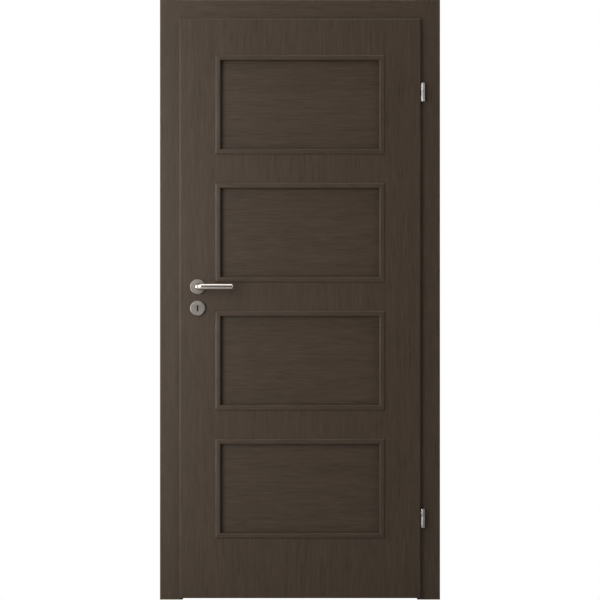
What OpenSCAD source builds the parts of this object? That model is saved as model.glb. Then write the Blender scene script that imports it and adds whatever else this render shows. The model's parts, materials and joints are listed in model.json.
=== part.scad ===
// Rebated interior door: a four-panel leaf hung in an adjustable wrap-round frame, with a lever
// handle, a mortice lock and two lift-off barrel hinges. Millimetres. +X points to the hinge side,
// +Y into the wall, +Z up. The origin is on the floor, at mid-width, in the wall's front face.

/* [Leaf] */
// Width of the leaf over its lips
leaf_w = 844; // [644:1:1044]
// Height of the leaf
leaf_h = 2030; // [1900:1:2300]
// Thickness of the leaf
leaf_t = 40; // [38:0.5:50]
// Width of the lip that laps over the frame
lip_w = 13; // [11:0.5:16]
// Thickness of the lip
lip_t = 15; // [13:0.5:16]
// Gap under the leaf
floor_gap = 8; // [2:0.5:15]
// Thickness of the front facing sheet
front_skin_t = 5; // [3:0.5:6]
// Thickness of the back facing sheet
back_skin_t = 3; // [2:0.5:4]
// Rounding of the leaf's front edges
leaf_edge_r = 4; // [0.5:0.5:4]

/* [Panels] */
// Visible width of a stile, from the leaf's edge to the moulding
stile_face = 125; // [112:0.5:150]
// Visible height of the top rail
top_rail_face = 127; // [80:0.5:180]
// Visible height of each rail between two panels
mid_rail_face = 99; // [70:0.5:130]
// Visible height of the bottom rail
kick_rail_face = 210; // [120:0.5:280]
// Thickness of a panel
panel_t = 12; // [8:0.5:16]
// Free play round a panel inside its window
panel_play = 1; // [0.5:0.1:2]
// Width of the moulding round a panel
bead_w = 19; // [15:0.5:26]
// Height of the moulding over the leaf's face
bead_rise = 4.5; // [3:0.25:6]
// Width of the moulding's flat top
bead_flat = 7; // [4:0.5:9]
// Width by which the moulding laps over the facing
bead_lap = 8; // [6:0.5:10]
// Joint between two strips of moulding at a mitre
mitre_gap = 0.1; // [0.05:0.05:0.3]

/* [Frame] */
// Gap between the leaf's body and the frame, at the sides and the top
side_gap = 3; // [2:0.5:5]
// Gap between the lip and the architrave behind it
lip_gap = 1; // [0.5:0.5:2]
// Width of an architrave
architrave_w = 80; // [60:1:110]
// Thickness of an architrave
architrave_t = 14; // [13:0.5:18]
// Rounding of an architrave's edges
architrave_edge_r = 2; // [0.5:0.5:3]
// Thickness of the wall that the frame wraps round
wall_t = 120; // [112:1:140]
// Depth of a jamb board
jamb_d = 100; // [90:1:108]
// Thickness of a jamb board behind the rebate face
jamb_t = 25; // [22:0.5:32]
// Width of the stop that the leaf closes on
stop_w = 12; // [11:0.5:20]
// Gap between the leaf's back and the stop, which the seal fills
seal_gap = 4; // [3:0.25:5]
// Thickness of the rear architrave's tongue
rear_tongue_t = 10; // [8:0.5:12]
// Length of the rear architrave's tongue
rear_tongue_l = 58; // [50:1:62]
// Room in the groove behind the rear tongue, for a thinner wall
rear_room = 12; // [6:1:16]
// Thickness of the tongue that joins a front architrave to its jamb
front_tongue_t = 6; // [4:0.5:8]
// Length of that tongue
front_tongue_l = 8; // [5:0.5:10]
// Distance of that tongue from the rebate face
front_tongue_u = 14; // [13:0.5:16]

/* [Seal] */
// Width of the seal's bulb
seal_w = 7; // [5:0.5:8]
// Wall of the seal's bulb
seal_wall = 1; // [0.6:0.1:1.4]
// Thickness of the seal's fin
seal_fin_t = 2.6; // [1.6:0.1:3]
// Depth of the seal's fin
seal_fin_d = 6; // [4:0.5:8]
// Distance of the seal from the rebate face
seal_u = 7; // [6:0.5:7]
// Gap between the seal and the leaf's back
seal_clear = 0.3; // [0.1:0.1:0.6]

/* [Handle] */
// Height of the lever's axis over the floor
handle_z = 1099; // [950:0.5:1150]
// Distance of the lever's axis from the edge of the leaf's body
backset = 51.5; // [45:0.5:60]
// Diameter of the lever's tube
lever_d = 22; // [18:0.5:24]
// Length of the lever from its axis to its end
lever_l = 127; // [100:1:150]
// Distance of the grip's centre line from the leaf's face
lever_out = 48; // [44:1:60]
// Bend radius of the lever's elbow
lever_bend_r = 17; // [14:0.5:20]
// Rounding of the lever's end
lever_end_r = 6.5; // [2:0.5:8]
// Gap between the lever's neck and the rose's cover
collar_gap = 0.5; // [0.3:0.1:1]
// Diameter of the lever's bearing in the rose
spigot_d = 16; // [14:0.5:17]
// Width across the flats of the spindle
spindle_w = 8; // [7:0.5:9]
// Length of the spindle inside each lever
spindle_grip = 29; // [20:1:30]
// Diameter of the hole for the spindle in the leaf
spindle_bore_d = 18; // [16:0.5:20]
// Distance of the grub screw from the leaf's face
grub_out = 15; // [13:0.5:20]
// Diameter of the grub screw
grub_d = 5; // [3:0.5:6]
// Diameter of a rose
rose_d = 52; // [50:0.5:60]
// Height of a rose over the leaf's face
rose_h = 9; // [8:0.5:12]
// Thickness of a rose's cover
rose_wall = 1.2; // [0.8:0.1:1.6]
// Rounding of a rose's front edge
rose_edge_r = 1; // [0.4:0.1:1.2]
// Thickness of the base under a rose's cover
rose_base_t = 6; // [5:0.5:6.5]
// Distance between the two screws that clamp a pair of roses
rose_screw_spacing = 38; // [36:0.5:39]
// Diameter of those screws
rose_screw_d = 5; // [4:0.5:5]
// Diameter of their heads
rose_screw_head_d = 8.5; // [7:0.5:9]
// Height of their heads
rose_screw_head_h = 2.5; // [2:0.25:3]

/* [Lock] */
// Distance from the lever's axis down to the key's axis
key_spacing = 75; // [72:0.5:92]
// Width of the keyhole
keyhole_w = 5.5; // [5:0.1:6.5]
// Height of the keyhole
keyhole_h = 20.5; // [18:0.5:22]
// Diameter of the keyhole's round upper end
keyhole_top_d = 6.6; // [6:0.1:8]
// Room round the keyhole inside the leaf
key_room = 2.25; // [1.5:0.25:3]
// Thickness of the lock case
case_t = 15; // [14:0.5:16]
// Wall of the lock case
case_wall = 2; // [1:0.25:2]
// Height of the case over the lever's axis
case_above = 49; // [44:1:60]
// Depth of the case below the key's axis
case_below = 35; // [28:1:45]
// Depth of the case behind the lever's axis
case_behind = 30; // [29:0.5:34]
// Width of the lock's faceplate
faceplate_w = 18; // [17:0.5:20]
// Thickness of the faceplate
faceplate_t = 3; // [2:0.25:4]
// Length of the faceplate beyond each end of the case
faceplate_end = 20; // [16:1:30]
// Thickness of the latch and the bolt
bolt_t = 10; // [8:0.25:10]
// Height of the latch's head
latch_h = 26; // [22:0.5:28]
// Distance of the latch's centre above the lever's axis
latch_up = 23; // [22.5:0.5:25]
// Distance by which the latch stands out of the faceplate
latch_out = 11.5; // [9:0.5:12]
// Width of the latch's blunt nose
latch_nose = 2; // [1:0.25:3]
// Distance from the faceplate to the latch's bevel
latch_land = 0.5; // [0.25:0.25:1]
// Length of the latch's head inside the case
latch_in = 22; // [18:0.5:24]
// Height of the latch's tail
tail_h = 8; // [6:0.5:10]
// Thickness of the latch's tail and of the arm that draws it
tail_t = 4; // [3:0.25:5]
// Width of the hook on the latch's tail
hook_w = 5; // [4:0.5:6]
// Diameter of the pin that carries the latch spring
hook_pin_d = 4; // [3:0.25:5]
// Length of that pin
hook_pin_l = 6; // [4:0.5:8]
// Radius of the follower's arm
arm_r = 18; // [17:0.25:18]
// Width of the follower's arm
arm_w = 8; // [6:0.5:8]
// Free play between the arm and the latch's hook
arm_gap = 0.6; // [0.3:0.1:1]
// Diameter of the follower's disc
follower_d = 20; // [18:0.5:20]
// Diameter of the follower's bearing in the case
follower_boss_d = 16; // [14:0.5:17]
// Height of the dead bolt
deadbolt_h = 26; // [20:0.5:28]
// Length of the dead bolt
deadbolt_l = 70; // [64:0.5:74]
// Throw of the dead bolt
deadbolt_throw = 15; // [10:0.5:17]
// Distance of the dead bolt's lower edge above the key's axis
deadbolt_up = 11.5; // [11:0.5:13]
// Diameter of the post that guides the dead bolt
guide_d = 4; // [3:0.25:5]
// Distance of that post from the faceplate, beyond the bolt's throw
guide_in = 12; // [10:0.5:14]
// Width of the bolt's notch for the key
notch_w = 12; // [10:0.5:14]
// Depth of that notch
notch_d = 6; // [4:0.5:8]
// Outer diameter of the latch spring
spring_d = 7; // [6:0.25:8]
// Wire of the latch spring
spring_wire = 0.8; // [0.6:0.1:1]
// Turns of the latch spring
spring_turns = 6; // [4:1:7]
// Thickness of the strike plate
strike_t = 2; // [1.5:0.25:3]
// Length of the strike plate beyond the latch and the bolt
strike_end = 35; // [28:1:45]
// Room round the latch and the bolt in the strike
strike_play = 1; // [0.5:0.1:1.5]
// Distance of the strike's screws from its ends
strike_screw_in = 12.5; // [11:0.5:16]
// Distance of those screws' heads from the strike's rear edge
strike_edge = 0.75; // [0.5:0.25:1.5]
// Diameter of the countersunk screws in the faceplate and the strike
screw_d = 4; // [3:0.25:4]
// Diameter of their heads
screw_head_d = 6.5; // [6:0.25:6.5]
// Length of those screws
screw_l = 20; // [14:1:30]

/* [Hinges] */
// Distance of the upper hinge's parting line below the leaf's top
upper_hinge_drop = 252.5; // [180:0.5:350]
// Height of the lower hinge's parting line over the floor
lower_hinge_z = 293.5; // [200:0.5:350]
// Diameter of a hinge barrel
barrel_d = 14; // [13:0.25:16]
// Gap between a barrel and the leaf's edge
barrel_gap = 1.5; // [1.5:0.25:4]
// Distance of the hinge axis behind the leaf's front face
barrel_set = 4; // [3:0.25:6]
// Height of the leaf's knuckle
leaf_knuckle_h = 27.5; // [25:0.5:40]
// Height of the frame's knuckle
frame_knuckle_h = 38.5; // [36:0.5:50]
// Rounding of a knuckle's end
knuckle_edge_r = 1.5; // [0.5:0.25:2]
// Gap between the two knuckles
knuckle_gap = 0.3; // [0.2:0.1:0.6]
// Diameter of the hinge pin
hinge_pin_d = 7; // [6:0.25:8]
// Chamfer of the pin's tip
pin_tip = 1; // [0.5:0.25:1.5]
// Length of the pin above the parting line
pin_above = 20; // [15:0.5:22]
// Length of the pin below the parting line
pin_below = 28; // [20:0.5:32]
// Diameter of the studs that hold a knuckle
stud_d = 6; // [5:0.25:7]
// Length of the leaf's stud from the hinge axis
leaf_stud_l = 52; // [40:1:60]
// Length of the frame's studs from the hinge axis
frame_stud_l = 58; // [50:1:62]
// Slope of the studs towards the middle of the wood
stud_slope = 15; // [14:0.5:17]
// Distance between the two studs of a frame knuckle
stud_spacing = 18; // [14:0.5:20]

/* [Fits] */
// Clearance of pieces that are pushed or glued together
fit = 0.2; // [0.1:0.05:0.3]
// Clearance of pieces that turn in each other
run = 0.05; // [0.02:0.01:0.1]
// Clearance of pieces that slide inside the lock
slide = 0.5; // [0.3:0.05:0.7]
// Room past the end of a blind hole or a moving arm
room = 1; // [0.5:0.25:1.5]

/* [Hidden] */
$fn = 96;
panel_n = 4;
cut = 1;

// Depths, from the leaf's front face to the wall's rear face
lip_back_y = -architrave_t - lip_gap;
face_y = lip_back_y - lip_t;
back_y = face_y + leaf_t;
mid_y = face_y + leaf_t / 2;
core_y0 = face_y + front_skin_t;
core_y1 = back_y - back_skin_t;
stop_y = back_y + seal_gap;
panel_y0 = mid_y - panel_t / 2;
rear_y = wall_t + architrave_t;
rear_tongue_y = wall_t - rear_tongue_l;
rear_groove_y = rear_tongue_y - rear_room;

// Widths and heights of the leaf and the frame
leaf_x = leaf_w / 2;
body_x = leaf_x - lip_w;
leaf_z0 = floor_gap;
leaf_z1 = floor_gap + leaf_h;
body_z1 = leaf_z1 - lip_w;
rebate_x = body_x + side_gap;
rebate_z = body_z1 + side_gap;
outer_x = rebate_x + architrave_w;
outer_z = rebate_z + architrave_w;

// Mouldings, windows and panels
ring_w = leaf_w - 2 * stile_face;
ring_h = (leaf_h - top_rail_face - kick_rail_face - (panel_n - 1) * mid_rail_face) / panel_n;
ring_pitch = ring_h + mid_rail_face;
window_w = ring_w - 2 * bead_lap;
window_h = ring_h - 2 * bead_lap;
bead_leg = panel_y0 - face_y;
bead_side = (bead_w - bead_flat) / 2;
bead_r = (bead_side * bead_side + bead_rise * bead_rise) / (2 * bead_rise);
function ring_z(i) = leaf_z1 - top_rail_face - ring_h / 2 - (i - 1) * ring_pitch;

// Lock and handle
handle_x = -body_x + backset;
key_z = handle_z - key_spacing;
lock_y = (lip_back_y + back_y) / 2;
case_x0 = -body_x + faceplate_t;
case_x1 = handle_x + case_behind;
case_y0 = lock_y - case_t / 2;
case_y1 = lock_y + case_t / 2;
case_z0 = key_z - case_below;
case_z1 = handle_z + case_above;
cavity_y0 = case_y0 + case_wall;
cavity_y1 = case_y1 - case_wall;
bolt_y0 = lock_y - bolt_t / 2;
bolt_y1 = lock_y + bolt_t / 2;
latch_z = handle_z + latch_up;
latch_x0 = -body_x - latch_out;
latch_x1 = -body_x + faceplate_t + latch_in;
hook_x0 = handle_x + arm_w / 2 + arm_gap;
tail_z0 = handle_z + arm_r + room;
tail_z1 = tail_z0 + tail_h;
deadbolt_z = key_z + deadbolt_up + deadbolt_h / 2;
deadbolt_x1 = -body_x + deadbolt_l;
guide_x = case_x0 + deadbolt_throw + guide_in;
spring_x0 = hook_x0 + hook_w + fit / 2;
spring_x1 = case_x1 - case_wall - fit / 2;
faceplate_z0 = case_z0 - faceplate_end;
faceplate_z1 = case_z1 + faceplate_end;
strike_z0 = deadbolt_z - deadbolt_h / 2 - strike_end;
strike_z1 = latch_z + latch_h / 2 + strike_end;
strike_screw_y = lock_y + faceplate_w / 2 - screw_head_d / 2 - strike_edge;
key_bore_w = keyhole_w + 2 * key_room;
key_bore_h = keyhole_h + 2 * key_room;
grip_y = face_y - lever_out;
rose_seat = rose_base_t - rose_screw_head_h - room;
neck_y = face_y - rose_base_t - 2 * fit;
spigot_y = face_y - fit;
spindle_y0 = face_y - spindle_grip;
spindle_y1 = back_y + spindle_grip;

// Hinges
upper_hinge_z = leaf_z1 - upper_hinge_drop;
hinge_x = leaf_x + barrel_gap + barrel_d / 2;
hinge_y = face_y + barrel_set;
stud_root = (barrel_d + hinge_pin_d) / 4;

// Seal: a bulb that stops just short of the leaf, on a fin in a kerf
seal_r = seal_w / 2;
seal_base = seal_wall / 2;
seal_h = seal_gap - seal_clear;
seal_x = rebate_x - seal_u;
seal_z = rebate_z - seal_u;
kerf_t = seal_fin_t + 2 * fit;
kerf_d = seal_fin_d + room;

wood = [0.27, 0.235, 0.2];
wood_panel = [0.25, 0.215, 0.18];
steel = [0.72, 0.71, 0.69];
plate_steel = [0.6, 0.6, 0.6];
nylon = [0.2, 0.2, 0.2];
rubber = [0.12, 0.11, 0.1];

// Helpers: a box between two corners, extrusions along X and Y, rods, and mirror images
module block(low, high) {
    translate(low) cube(high - low);
}
module along_x(x0, x1) {
    translate([x0, 0, 0]) rotate([90, 0, 90]) linear_extrude(x1 - x0) children();
}
module along_y(y0, y1) {
    translate([0, y1, 0]) rotate([90, 0, 0]) linear_extrude(y1 - y0) children();
}
module rod_x(r, x0, x1) {
    translate([x0, 0, 0]) rotate([0, 90, 0]) cylinder(r = r, h = x1 - x0);
}
module rod_y(r, y0, y1) {
    translate([0, y1, 0]) rotate([90, 0, 0]) cylinder(r = r, h = y1 - y0);
}
module on_side(side) {
    if (side < 0) mirror([1, 0, 0]) children();
    else children();
}
module on_face(back) {
    if (back) translate([0, 2 * mid_y, 0]) mirror([0, 1, 0]) children();
    else children();
}

// A rectangle from the origin with its two corners at y = 0 rounded
module rounded_front(w, d, r) {
    translate([r, 0]) square([w - 2 * r, d]);
    translate([0, r]) square([w, d - r]);
    for (x = [r, w - r]) translate([x, r]) intersection() {
        circle(r);
        translate([-r, -r]) square([2 * r, (d + r) / 2]);
    }
}

// A slot with round ends, standing upright round the origin
module slot(w, h) {
    square([w, h - w], center = true);
    for (s = [-1, 1]) translate([0, s * (h - w) / 2]) circle(d = w);
}

// Frame. A section's first axis runs outward from the rebate face, its second into the wall
module jamb_section() {
    difference() {
        union() {
            square([jamb_t, jamb_d]);
            translate([-stop_w, stop_y]) square([stop_w + cut, jamb_d - stop_y]);
        }
        translate([-seal_u - kerf_t / 2, stop_y - cut]) square([kerf_t, kerf_d + cut]);
        translate([front_tongue_u - fit, -cut])
            square([front_tongue_t + 2 * fit, front_tongue_l + fit + cut]);
        translate([-fit, rear_groove_y]) square([rear_tongue_t + 2 * fit, jamb_d - rear_groove_y + cut]);
    }
}
module seal_bulb(r, base) {
    intersection() {
        union() {
            translate([0, seal_r - seal_h]) circle(r);
            translate([-r, seal_r - seal_h]) square([2 * r, seal_h]);
        }
        translate([-r, -seal_h]) square([2 * r, seal_h - base]);
    }
}
module seal_fin() {
    translate([-seal_fin_t / 2, -seal_base]) square([seal_fin_t, seal_fin_d + seal_base]);
}

// An upright or a head cut from a section, with 45 degree mitres at the upper corners
module mitred_upright(reach) {
    intersection() {
        translate([rebate_x, 0, 0]) linear_extrude(rebate_z + reach) children();
        along_y(-rear_y, 2 * rear_y) polygon([
            [rebate_x - reach, 0], [rebate_x + reach, 0],
            [rebate_x + reach, rebate_z + reach], [rebate_x - reach, rebate_z - reach]
        ]);
    }
}
module mitred_head(reach) {
    half = rebate_x + reach;
    intersection() {
        translate([0, 0, rebate_z]) along_x(-half, half) mirror([1, -1]) children();
        along_y(-rear_y, 2 * rear_y) polygon([
            [-half, rebate_z + reach], [half, rebate_z + reach],
            [rebate_x - reach, rebate_z - reach], [reach - rebate_x, rebate_z - reach]
        ]);
    }
}

// Room for the latch and the bolt behind the strike plate
module strike_window(z, h, depth) {
    translate([0, 0, z]) block(
        [-rebate_x - depth, bolt_y0 - strike_play, -h / 2 - strike_play],
        [-rebate_x + cut, bolt_y1 + strike_play, h / 2 + strike_play]
    );
}
module strike_windows(depth) {
    strike_window(latch_z, latch_h, depth);
    strike_window(deadbolt_z, deadbolt_h, depth);
}
module strike_outline(grow) {
    translate([lock_y, (strike_z0 + strike_z1) / 2])
        slot(faceplate_w + 2 * grow, strike_z1 - strike_z0 + 2 * grow);
}
module strike_screw_places() {
    for (z = [strike_z0 + strike_screw_in, strike_z1 - strike_screw_in])
        translate([-rebate_x, strike_screw_y, z]) mirror([1, 0, 0]) children();
}
module strike_mortice() {
    along_x(-rebate_x - strike_t, -rebate_x + cut) strike_outline(fit);
    strike_windows(deadbolt_throw + strike_play);
    strike_screw_places() rod_x(screw_d / 2 + fit, 0, screw_l + cut);
}

// A countersunk screw along +X with its head flush at the origin
module countersunk(clearance) {
    rod_x(screw_d / 2 + clearance, 0, screw_l + clearance);
    rotate([0, 90, 0]) cylinder(
        r1 = screw_head_d / 2 + clearance, r2 = screw_d / 2 + clearance, h = (screw_head_d - screw_d) / 2
    );
}

// Holes for the hinge studs, shared by the wood they go through
module leaf_stud(z, r, start) {
    translate([hinge_x, hinge_y, z + leaf_knuckle_h / 2]) rotate([0, 0, 180 - stud_slope])
        rod_x(r, start, leaf_stud_l);
}
module frame_studs(z, r, start) {
    for (s = [-1, 1])
        translate([hinge_x, hinge_y, z - frame_knuckle_h / 2 + s * stud_spacing / 2])
            rotate([0, 0, 90 + stud_slope]) rod_x(r, start, frame_stud_l);
}
module frame_stud_holes() {
    for (z = [upper_hinge_z, lower_hinge_z]) frame_studs(z, stud_d / 2 + fit / 2, stud_root);
}

module jamb_lock_side() {
    color(wood) difference() {
        on_side(-1) mitred_upright(jamb_t) jamb_section();
        strike_mortice();
    }
}
module jamb_hinge_side() {
    color(wood) difference() {
        mitred_upright(jamb_t) jamb_section();
        frame_stud_holes();
    }
}
module jamb_head() {
    color(wood) mitred_head(jamb_t) jamb_section();
}

// Front architraves: the uprights run through and the head stands between them
module architrave_front_upright() {
    translate([rebate_x, -architrave_t, 0]) linear_extrude(outer_z)
        rounded_front(architrave_w, architrave_t, architrave_edge_r);
    translate([rebate_x + front_tongue_u, -cut, 0]) cube([front_tongue_t, front_tongue_l + cut, rebate_z]);
}
module architrave_front_lock_side() {
    color(wood) difference() {
        on_side(-1) architrave_front_upright();
        strike_mortice();
    }
}
module architrave_front_hinge_side() {
    color(wood) difference() {
        architrave_front_upright();
        frame_stud_holes();
    }
}
module architrave_front_head() {
    tongue_z = rebate_z + front_tongue_u;
    color(wood) union() {
        translate([0, 0, rebate_z]) along_x(-rebate_x, rebate_x) mirror([1, -1])
            translate([0, -architrave_t]) rounded_front(architrave_w, architrave_t, architrave_edge_r);
        block([-rebate_x, -cut, tongue_z], [rebate_x, front_tongue_l, tongue_z + front_tongue_t]);
    }
}

// Rear architraves: each has a long tongue that slides in the jamb, so that the frame fits the wall
module architrave_rear_upright() {
    translate([rebate_x, rear_y, 0]) mirror([0, 1, 0]) linear_extrude(outer_z)
        rounded_front(architrave_w, architrave_t, architrave_edge_r);
    block([rebate_x, rear_tongue_y, 0], [rebate_x + rear_tongue_t, wall_t + cut, rebate_z + rear_tongue_t]);
}
module architrave_rear_lock_side() {
    color(wood) on_side(-1) architrave_rear_upright();
}
module architrave_rear_hinge_side() {
    color(wood) architrave_rear_upright();
}
module architrave_rear_head() {
    color(wood) union() {
        translate([0, rear_y, rebate_z]) mirror([0, 1, 0])
            along_x(-rebate_x, rebate_x) mirror([1, -1])
            rounded_front(architrave_w, architrave_t, architrave_edge_r);
        block([-rebate_x, rear_tongue_y, rebate_z], [rebate_x, wall_t + cut, rebate_z + rear_tongue_t]);
    }
}

// One hollow strip of rubber up, across and down. Its lengths cross at the upper corners
module seal_run(start, end) {
    for (side = [-1, 1]) translate([side * seal_x, stop_y, start])
        linear_extrude(seal_z + end - start) children();
    translate([0, stop_y, seal_z]) along_x(-seal_x - end, seal_x + end) mirror([1, -1]) children();
}
module frame_seal() {
    hollow_r = seal_r - seal_wall;
    color(rubber) union() {
        difference() {
            seal_run(0, seal_r) seal_bulb(seal_r, 0);
            seal_run(-cut, hollow_r) seal_bulb(hollow_r, seal_base);
        }
        seal_run(0, seal_fin_t / 2) seal_fin();
    }
}
module strike_plate() {
    color(plate_steel) difference() {
        along_x(-rebate_x - strike_t, -rebate_x) strike_outline(0);
        strike_windows(strike_t + cut);
        strike_screw_places() countersunk(fit);
    }
}
module strike_screws() {
    color(plate_steel) strike_screw_places() countersunk(0);
}

// Hinges: the leaf's knuckle lifts off the pin that stands in the frame's knuckle
module knuckle(z0, h, round_top) {
    r = barrel_d / 2;
    translate([hinge_x, hinge_y, z0]) translate([0, 0, round_top ? 0 : h]) mirror([0, 0, round_top ? 0 : 1])
        rotate_extrude() {
            square([r, h - knuckle_edge_r]);
            square([r - knuckle_edge_r, h]);
            intersection() {
                translate([r - knuckle_edge_r, h - knuckle_edge_r]) circle(knuckle_edge_r);
                square([r, h]);
            }
        }
}
module leaf_knuckle(z) {
    color(steel) difference() {
        union() {
            knuckle(z + knuckle_gap / 2, leaf_knuckle_h - knuckle_gap / 2, true);
            leaf_stud(z, stud_d / 2, stud_root);
        }
        translate([hinge_x, hinge_y, z - cut]) cylinder(d = hinge_pin_d + 2 * run, h = pin_above + fit + cut);
    }
}
module frame_knuckle(z) {
    color(steel) difference() {
        union() {
            knuckle(z - frame_knuckle_h, frame_knuckle_h - knuckle_gap / 2, false);
            frame_studs(z, stud_d / 2, stud_root);
        }
        translate([hinge_x, hinge_y, z - pin_below]) cylinder(d = hinge_pin_d + run, h = pin_below + cut);
    }
}
module hinge_pin(z) {
    color(plate_steel) translate([hinge_x, hinge_y, z - pin_below]) union() {
        cylinder(d = hinge_pin_d, h = pin_below + pin_above - pin_tip);
        translate([0, 0, pin_below + pin_above - pin_tip])
            cylinder(d1 = hinge_pin_d, d2 = hinge_pin_d - 2 * pin_tip, h = pin_tip);
    }
}

// Leaf: a core of stiles and rails, lipped at the sides and the top, between two facing sheets
module core() {
    block([-leaf_x, core_y0, leaf_z0], [leaf_x, lip_back_y, leaf_z1]);
    block([-body_x, core_y0, leaf_z0], [body_x, core_y1, body_z1]);
}
module core_stile(side) {
    intersection() {
        core();
        on_side(side) block([window_w / 2, face_y, 0], [leaf_x + cut, back_y, outer_z]);
    }
}
module core_rail(z0, z1) {
    intersection() {
        core();
        block([-window_w / 2, face_y, z0], [window_w / 2, back_y, z1]);
    }
}
module rail_between(i) {
    low = i == panel_n ? leaf_z0 : ring_z(i + 1) + window_h / 2;
    high = i == 0 ? leaf_z1 : ring_z(i) - window_h / 2;
    color(wood) core_rail(low, high);
}

// Holes through the leaf for the spindle, the key and the screws of the roses
module rose_screw_places() {
    for (z = [handle_z, key_z], s = [-1, 1])
        translate([handle_x + s * rose_screw_spacing / 2, 0, z]) children();
}
module furniture_holes() {
    y0 = face_y - cut;
    y1 = back_y + cut;
    translate([handle_x, 0, handle_z]) rod_y(spindle_bore_d / 2, y0, y1);
    translate([handle_x, 0, key_z]) along_y(y0, y1) slot(key_bore_w, key_bore_h);
    rose_screw_places() rod_y(rose_screw_d / 2 + fit, y0, y1);
}
module faceplate_outline(grow) {
    translate([lock_y, (faceplate_z0 + faceplate_z1) / 2])
        slot(faceplate_w + 2 * grow, faceplate_z1 - faceplate_z0 + 2 * grow);
}
module lock_screw_places() {
    for (z = [faceplate_z0 + faceplate_end / 2, faceplate_z1 - faceplate_end / 2])
        translate([-body_x, lock_y, z]) children();
}
module lock_mortice() {
    along_x(-body_x - cut, case_x0) faceplate_outline(fit);
    block(
        [case_x0 - cut, case_y0 - fit, case_z0 - fit],
        [case_x1 + fit, case_y1 + fit, case_z1 + fit]
    );
    lock_screw_places() rod_x(screw_d / 2 + fit, 0, screw_l + cut);
}
module stile_lock() {
    color(wood) difference() {
        core_stile(-1);
        lock_mortice();
        furniture_holes();
    }
}
module leaf_stud_holes() {
    for (z = [upper_hinge_z, lower_hinge_z]) leaf_stud(z, stud_d / 2 + fit / 2, stud_root);
}
module stile_hinge() {
    color(wood) difference() {
        core_stile(1);
        leaf_stud_holes();
    }
}
module windows() {
    for (i = [1 : panel_n]) translate([0, 0, ring_z(i)])
        block([-window_w / 2, face_y - cut, -window_h / 2], [window_w / 2, back_y + cut, window_h / 2]);
}
module skin_front() {
    color(wood) difference() {
        intersection() {
            translate([-leaf_x, face_y, leaf_z0]) linear_extrude(leaf_h)
                rounded_front(leaf_w, front_skin_t, leaf_edge_r);
            translate([0, face_y, leaf_z0]) along_x(-leaf_x, leaf_x) mirror([1, -1])
                rounded_front(leaf_h, front_skin_t, leaf_edge_r);
        }
        windows();
        furniture_holes();
        leaf_stud_holes();
    }
}
module skin_back() {
    color(wood) difference() {
        block([-body_x, core_y1, leaf_z0], [body_x, back_y, body_z1]);
        windows();
        furniture_holes();
    }
}
module panel(i) {
    w = window_w / 2 - panel_play;
    h = window_h / 2 - panel_play;
    color(wood_panel) translate([0, 0, ring_z(i)])
        block([-w, panel_y0, -h], [w, panel_y0 + panel_t, h]);
}

// Panel mouldings: a crowned cap over the facing's edge on a leg that holds the panel.
// The section's first axis runs inward from the outer edge, its second out of the leaf's face
module bead_section() {
    inner_w = bead_w - bead_lap - fit;
    intersection() {
        union() {
            for (u = [bead_side, bead_w - bead_side]) translate([u, bead_rise - bead_r]) circle(bead_r);
            translate([bead_side, -cut]) square([bead_flat, bead_rise + cut]);
        }
        union() {
            square([bead_w, bead_rise]);
            translate([bead_lap + fit, -cut]) square([inner_w, bead_rise + cut]);
        }
    }
    translate([bead_lap + fit, -bead_leg]) square([inner_w, bead_leg]);
}
module bead_strip(length, across) {
    half = (length - mitre_gap) / 2;
    high = across / 2;
    intersection() {
        translate([0, face_y, high]) along_x(-half, half) mirror([1, 0]) rotate(-90) bead_section();
        along_y(face_y - bead_rise - cut, panel_y0 + cut) polygon([
            [-half, high], [half, high], [half - bead_w, high - bead_w], [bead_w - half, high - bead_w]
        ]);
    }
}
module bead_ring(i, back) {
    color(wood) on_face(back) translate([0, 0, ring_z(i)]) {
        for (s = [0, 1]) mirror([0, 0, s]) bead_strip(ring_w, ring_h);
        for (s = [0, 1]) mirror([s, 0, 0]) mirror([1, 0, -1]) bead_strip(ring_h, ring_w);
    }
}

// Mortice lock
module guide_post(r) {
    translate([guide_x, 0, deadbolt_z]) rod_y(r, cavity_y0 - cut, cavity_y1);
}
module case_holes() {
    y0 = case_y0 - cut;
    y1 = case_y1 + cut;
    translate([handle_x, 0, handle_z]) rod_y(follower_boss_d / 2 + run, y0, y1);
    translate([handle_x, 0, key_z]) along_y(y0, y1) slot(keyhole_top_d + room, keyhole_h + room);
    rose_screw_places() rod_y(rose_screw_d / 2 + fit, y0, y1);
}
module lock_case() {
    color(plate_steel) union() {
        difference() {
            block([case_x0, case_y0, case_z0], [case_x1, cavity_y1, case_z1]);
            block(
                [case_x0 - cut, cavity_y0, case_z0 + case_wall],
                [case_x1 - case_wall, case_y1, case_z1 - case_wall]
            );
            case_holes();
        }
        guide_post(guide_d / 2);
    }
}
module lock_cover() {
    color(plate_steel) difference() {
        block([case_x0, cavity_y1, case_z0], [case_x1, case_y1, case_z1]);
        case_holes();
    }
}
module lock_faceplate() {
    color(steel) difference() {
        along_x(-body_x, case_x0) faceplate_outline(0);
        for (b = [[latch_z, latch_h], [deadbolt_z, deadbolt_h]]) translate([0, 0, b[0]]) block(
            [-body_x - cut, bolt_y0 - fit, -b[1] / 2 - fit], [case_x0 + cut, bolt_y1 + fit, b[1] / 2 + fit]
        );
        lock_screw_places() countersunk(fit);
    }
}
module lock_screws() {
    color(plate_steel) lock_screw_places() countersunk(0);
}

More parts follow.
